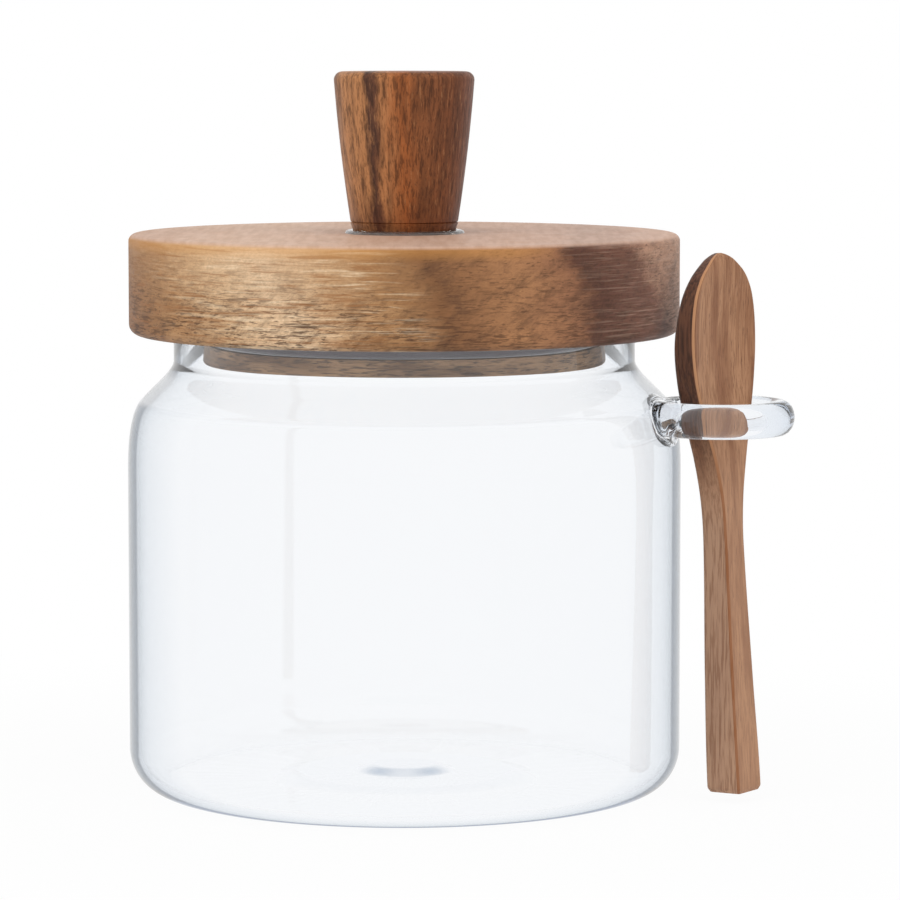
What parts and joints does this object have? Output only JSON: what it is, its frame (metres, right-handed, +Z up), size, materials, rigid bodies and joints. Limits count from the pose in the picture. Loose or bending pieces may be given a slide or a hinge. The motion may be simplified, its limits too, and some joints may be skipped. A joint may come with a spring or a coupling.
{
  "type": "glass storage jar",
  "caption": "Round clear glass storage jar with a turned wooden plug lid, conical knob, silicone seal and a small wooden spoon hanging in a glass loop on the shoulder.",
  "frame": {"origin": "on the jar's axis, on the flat underside of its base", "axes": "+Z up along the jar's axis, +X to the side with the spoon loop, -Y towards the camera of the picture"},
  "size_m": [0.1015, 0.085, 0.1103],
  "materials": {
    "jar_glass": "clear polished glass",
    "loop_glass": "clear fire polished glass rod",
    "lid_wood": "sanded and oiled, streaked grain",
    "plug_wood": "sanded, bare",
    "seal_silicone": "translucent grey silicone",
    "knob_wood": "sanded and oiled, dark streaks along the axis",
    "dowel_wood": "bare fluted dowel",
    "glue": "clear set glue",
    "spoon_wood": "sanded and oiled, grain along its length"
  },
  "bodies": {
    "jar": {"jar_body": "jar_glass", "spoon_loop": "loop_glass"},
    "lid": {"lid_disc": "lid_wood", "lid_plug": "plug_wood", "seal_ring": "seal_silicone", "knob": "knob_wood", "knob_dowel": "dowel_wood", "glue_bead": "glue"},
    "spoon": {"spoon": "spoon_wood"}
  },
  "joints": [
    {"name": "lid_lift", "type": "slide", "parent": "jar", "child": "lid", "axis": [0, 0, 1], "range_m": [0, 0.03]},
    {"name": "spoon_lift", "type": "slide", "parent": "jar", "child": "spoon", "axis": [-0.041, 0, 0.9992], "range_m": [0, 0.064]}
  ]
}
